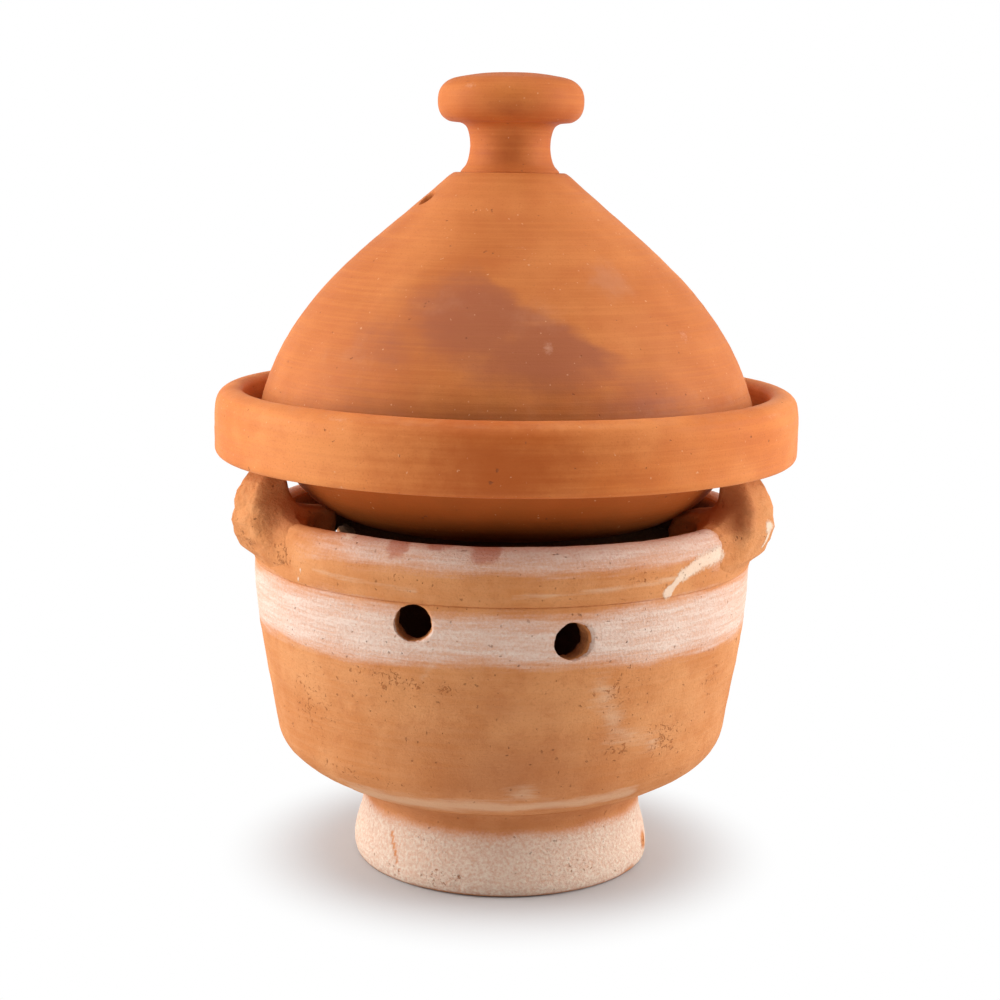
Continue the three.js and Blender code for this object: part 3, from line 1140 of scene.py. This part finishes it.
def paint_foot(foot):
    points = points_of(foot)
    height = points[:, 2]
    slip = 12 + 3 * dents(points, 20) - 19 * smoothstep(height, 21, 43)
    slip = slip - 12 * smoothstep(-height, -3, -0.5)
    bare = most(
        stroke(points, (-48, 24), (-43, 14), 1.8),
        0.8 * stroke(points, (-43, 14), (-40, 4), 1.1),
        spot(points, 76, 11, 10, 8),
        0.6 * spot(points, 60, 3, 12, 3),
    )
    slip = slip - 13 * smoothstep(bare, 0.0, 0.7)
    slip = np.where(radius_of(points) < 64, NO_SLIP, slip)
    none = unmarked(points)
    crumb = most(
        spot(points, -20, 8, 20, 8),
        spot(points, 30, 12, 24, 8),
        spot(points, 76, 11, 11, 9),
    )
    # Painted shade: the top of the foot darkened, under the bowl.
    flash = 0.7 * smoothstep(height, 28, 38)
    paint(foot, slip=slip, cream=none, smear=none, stain=none, crumb=crumb, flash=flash, soot=none)


# ---- The object ----


def settle(piece, node, body, material):
    """Gives a piece its clay and puts it in place of its CAD node."""
    piece.data.materials.clear()
    piece.data.materials.append(material)
    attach(piece, body)
    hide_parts(node)


def build():
    lid_clay = smooth_clay(
        "lid_clay", deep=(0.48, 0.132, 0.028), bright=(0.595, 0.192, 0.051), scorched=(0.34, 0.097, 0.044)
    )
    knob_clay = smooth_clay(
        "knob_clay", deep=(0.46, 0.11, 0.020), bright=(0.58, 0.17, 0.038), scorched=(0.40, 0.085, 0.018)
    )
    dish_clay = smooth_clay(
        "dish_clay", deep=(0.60, 0.16, 0.03), bright=(0.72, 0.25, 0.07), scorched=(0.42, 0.08, 0.010)
    )
    coarse = coarse_clay(
        "brazier_clay", brush=(30, 30, 2.2), ragged=10, working=(60, 60, 2.4), rough=0.3, wash=LIMEWASH
    )
    handled = coarse_clay(
        "rest_clay", brush=(12, 12, 6), ragged=10, working=(7, 7, 5), rough=1.1, wash=LIMEWASH
    )
    limewashed = coarse_clay(
        "foot_clay", brush=(1.9, 1.9, 1.6), ragged=4, working=(40, 40, 2.4), rough=0.3, wash=THICK_WASH
    )

    dish = make_dish()
    paint_dish(dish)
    settle(dish, "tagine_dish", "dish", dish_clay)

    lid = make_lid()
    paint_lid(lid)
    settle(lid, "lid_cone", "lid", lid_clay)

    knob = make_knob()
    paint_knob(knob)
    settle(knob, "lid_knob", "lid", knob_clay)

    bowl = make_bowl()
    paint_brazier(bowl)
    settle(bowl, "brazier_bowl", "brazier", coarse)

    roll = make_roll()
    paint_brazier(roll)
    settle(roll, "brazier_rim_roll", "brazier", coarse)

    foot = make_foot()
    paint_foot(foot)
    settle(foot, "brazier_foot_ring", "brazier", limewashed)

    for name, azimuth in RESTS.items():
        rest = make_rest(name, azimuth)
        paint_brazier(rest, is_rest=True)
        settle(rest, name, "brazier", handled)


# ---- Studio ----

FRONT_FILL = 0.12  # strength of the light from in front, and from behind
BACK_FILL = 0.8
FLOOR_HALF = 6.0  # metres
FADE = (0.077, 0.152)  # metres from the pot's axis over which the grey paper of the painted shade gives way to a painted white glow
EYE = (-0.0015, -1.0, 0.363)  # metres
LOOK_DOWN = 9.87  # degrees
TIP = 0.8  # degrees the camera was tipped to one side
SENSOR = 36  # mm
LENS = 69.84  # mm


def make_floor():
    """Grey paper round the pot as a painted shade, glowing white further away as painted light, so that
    it fades into the white behind it.
    """
    mesh = bpy.data.meshes.new("floor")
    corners = [(x * FLOOR_HALF, y * FLOOR_HALF, 0) for x, y in ((-1, -1), (1, -1), (1, 1), (-1, 1))]
    mesh.from_pydata(corners, [], [(0, 1, 2, 3)])
    floor = bpy.data.objects.new("floor", mesh)
    bpy.context.scene.collection.objects.link(floor)
    shader = Shader("floor_paper")
    grain = shader.noise(1.5, 2, 0.5)
    length = shader.node("ShaderNodeVectorMath", {"Vector": shader.place}, operation="LENGTH")
    fade = shader.step(length.outputs["Value"], *FADE)
    # Grey paper, a painted shade on the floor round the pot.
    paper = shader.blend(grain, (0.57, 0.585, 0.60), (0.59, 0.605, 0.62))
    lit = shader.blend(fade, paper, (0.0, 0.0, 0.0))
    normal = shader.bump(grain, 0.02)
    floor.data.materials.append(shader.finish(lit, 0.7, normal, 0.0, glow=fade))


def make_world():
    """A pale studio: white to look at, and as a light brighter behind the pot than in front of it."""
    world = bpy.data.worlds.new("studio")
    bpy.context.scene.world = world
    world.use_nodes = True
    tree = world.node_tree
    tree.nodes.clear()
    direction = tree.nodes.new("ShaderNodeTexCoord")
    split = tree.nodes.new("ShaderNodeSeparateXYZ")
    tree.links.new(direction.outputs["Generated"], split.inputs[0])
    behind = tree.nodes.new("ShaderNodeMapRange")
    behind.inputs["From Min"].default_value = -1.0
    behind.inputs["To Min"].default_value = FRONT_FILL
    behind.inputs["To Max"].default_value = BACK_FILL
    tree.links.new(split.outputs["Y"], behind.inputs["Value"])
    light = tree.nodes.new("ShaderNodeBackground")
    light.inputs["Color"].default_value = WHITE
    tree.links.new(behind.outputs["Result"], light.inputs["Strength"])
    seen = tree.nodes.new("ShaderNodeBackground")
    seen.inputs["Color"].default_value = WHITE
    rays = tree.nodes.new("ShaderNodeLightPath")
    choose = tree.nodes.new("ShaderNodeMixShader")
    out = tree.nodes.new("ShaderNodeOutputWorld")
    tree.links.new(rays.outputs["Is Camera Ray"], choose.inputs["Fac"])
    tree.links.new(light.outputs[0], choose.inputs[1])
    tree.links.new(seen.outputs[0], choose.inputs[2])
    tree.links.new(choose.outputs[0], out.inputs["Surface"])


def softbox(name, place, width, height, power):
    """A soft panel that faces the middle of the pot, in metres and watts."""
    data = bpy.data.lights.new(name, "AREA")
    data.shape = "RECTANGLE"
    data.size = width
    data.size_y = height
    data.energy = power
    light = bpy.data.objects.new(name, data)
    bpy.context.scene.collection.objects.link(light)
    light.location = place
    middle = (cad_low + cad_high) / 2
    light.rotation_euler = (middle - Vector(place)).to_track_quat("-Z", "Y").to_euler()


def make_lights():
    softbox("left_box", (-1.15, -0.12, 0.62), 0.9, 1.2, 18)
    softbox("right_box", (1.15, -0.12, 0.62), 0.9, 1.2, 16)
    softbox("top_box", (0.0, -0.3, 1.5), 1.2, 0.8, 5)


def make_camera():
    """At eye height a metre in front, looking a little down, tipped slightly as it was held."""
    data = bpy.data.cameras.new("camera")
    data.sensor_width = SENSOR
    data.lens = LENS
    camera = bpy.data.objects.new("camera", data)
    bpy.context.scene.collection.objects.link(camera)
    camera.location = EYE
    aim = Euler((math.pi / 2 - math.radians(LOOK_DOWN), 0, 0)).to_matrix()
    tip = Euler((0, 0, math.radians(TIP))).to_matrix()
    camera.rotation_euler = (aim @ tip).to_euler()
    bpy.context.scene.camera = camera


make_camera()
build()
make_floor()
make_world()
make_lights()
bpy.context.scene.view_settings.view_transform = "Standard"
